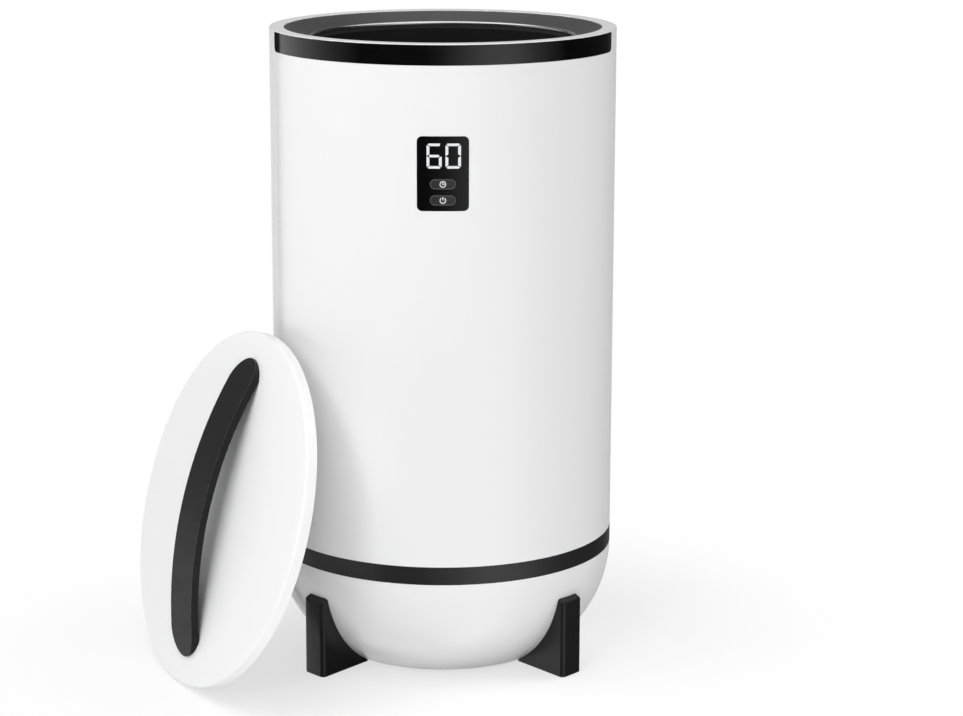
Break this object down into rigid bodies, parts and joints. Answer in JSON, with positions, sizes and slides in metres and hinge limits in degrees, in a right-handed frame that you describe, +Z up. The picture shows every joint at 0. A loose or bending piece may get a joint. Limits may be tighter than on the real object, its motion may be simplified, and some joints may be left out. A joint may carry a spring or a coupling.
{
  "type": "towel warmer bucket",
  "caption": "Round bucket towel warmer with a touch-button display panel, fin feet and a lift-off lid with an arched strap handle, leaning against it.",
  "frame": {"origin": "on the bucket's axis, in the plane of the soles", "axes": "+Z up along the bucket's axis, -Y towards the control panel, +X to its right seen from the front"},
  "size_m": [0.4382, 0.4019, 0.5735],
  "materials": {
    "shell_white": "white gloss moulding",
    "lid_white": "white satin-gloss moulding",
    "black_satin": "black satin moulding",
    "black_gloss": "black gloss",
    "collar_black": "dark satin moulding",
    "pot_black": "dark coating",
    "button_black": "black satin-gloss moulding",
    "rubber_black": "matt",
    "rubber_grey": "matt silicone",
    "heater_orange": "silicone heating mat",
    "foil": "plain sheet",
    "steel": "zinc-plated",
    "wool": "needled insulation felt",
    "foam": "rigid insulation foam",
    "board_green": "solder-masked board",
    "structure_grey": "moulded, unpainted",
    "structure_white": "moulded, unpainted",
    "cable": "sheathed lead"
  },
  "bodies": {
    "bucket": {"outer_shell": "shell_white", "rim_ring": "shell_white", "upper_band": "black_gloss", "collar": "collar_black", "inner_bucket": "pot_black", "bucket_gasket": "rubber_black", "pot_support": "structure_grey", "heater_film": "heater_orange", "heater_straps": "steel", "insulation_wrap": "wool", "thermostat": "steel", "thermal_fuse": "steel", "fuse_clip": "steel", "lower_band": "black_satin", "heat_shield": "foil", "foot_front_left": "black_satin", "foot_front_right": "black_satin", "foot_rear_right": "black_satin", "foot_rear_left": "black_satin", "foot_soles": "rubber_black", "foot_screws": "steel", "base_bowl": "shell_white", "base_cover": "structure_white", "cover_screws": "steel", "power_board": "board_green", "power_board_screws": "steel", "cord_gland": "black_satin", "panel_window": "black_gloss", "panel_carrier": "structure_grey", "control_board": "board_green", "board_screws": "steel", "digit_display": "black_gloss", "tact_switches": "structure_grey", "panel_lead": "cable", "heater_lead": "cable"},
    "lid": {"lid_top": "lid_white", "lid_underside": "lid_white", "underside_screws": "steel", "lid_plug": "lid_white", "plug_screws": "steel", "lid_seal": "rubber_grey", "lid_foam": "foam", "lid_handle": "black_satin", "handle_screws": "steel"},
    "timer_button": {"timer_button": "button_black"},
    "power_button": {"power_button": "button_black"}
  },
  "joints": [
    {"name": "lid_slide", "type": "slide", "parent": "bucket", "child": "lid", "axis": [-0.8491, -0.443, 0.2877], "range_m": [0, 0.25]},
    {"name": "timer_press", "type": "slide", "parent": "bucket", "child": "timer_button", "axis": [0, 1, 0], "range_m": [0, 0.0008], "stiffness_N_per_m": 800, "springref_m": -0.0003},
    {"name": "power_press", "type": "slide", "parent": "bucket", "child": "power_button", "axis": [0, 1, 0], "range_m": [0, 0.0008], "stiffness_N_per_m": 800, "springref_m": -0.0003}
  ]
}
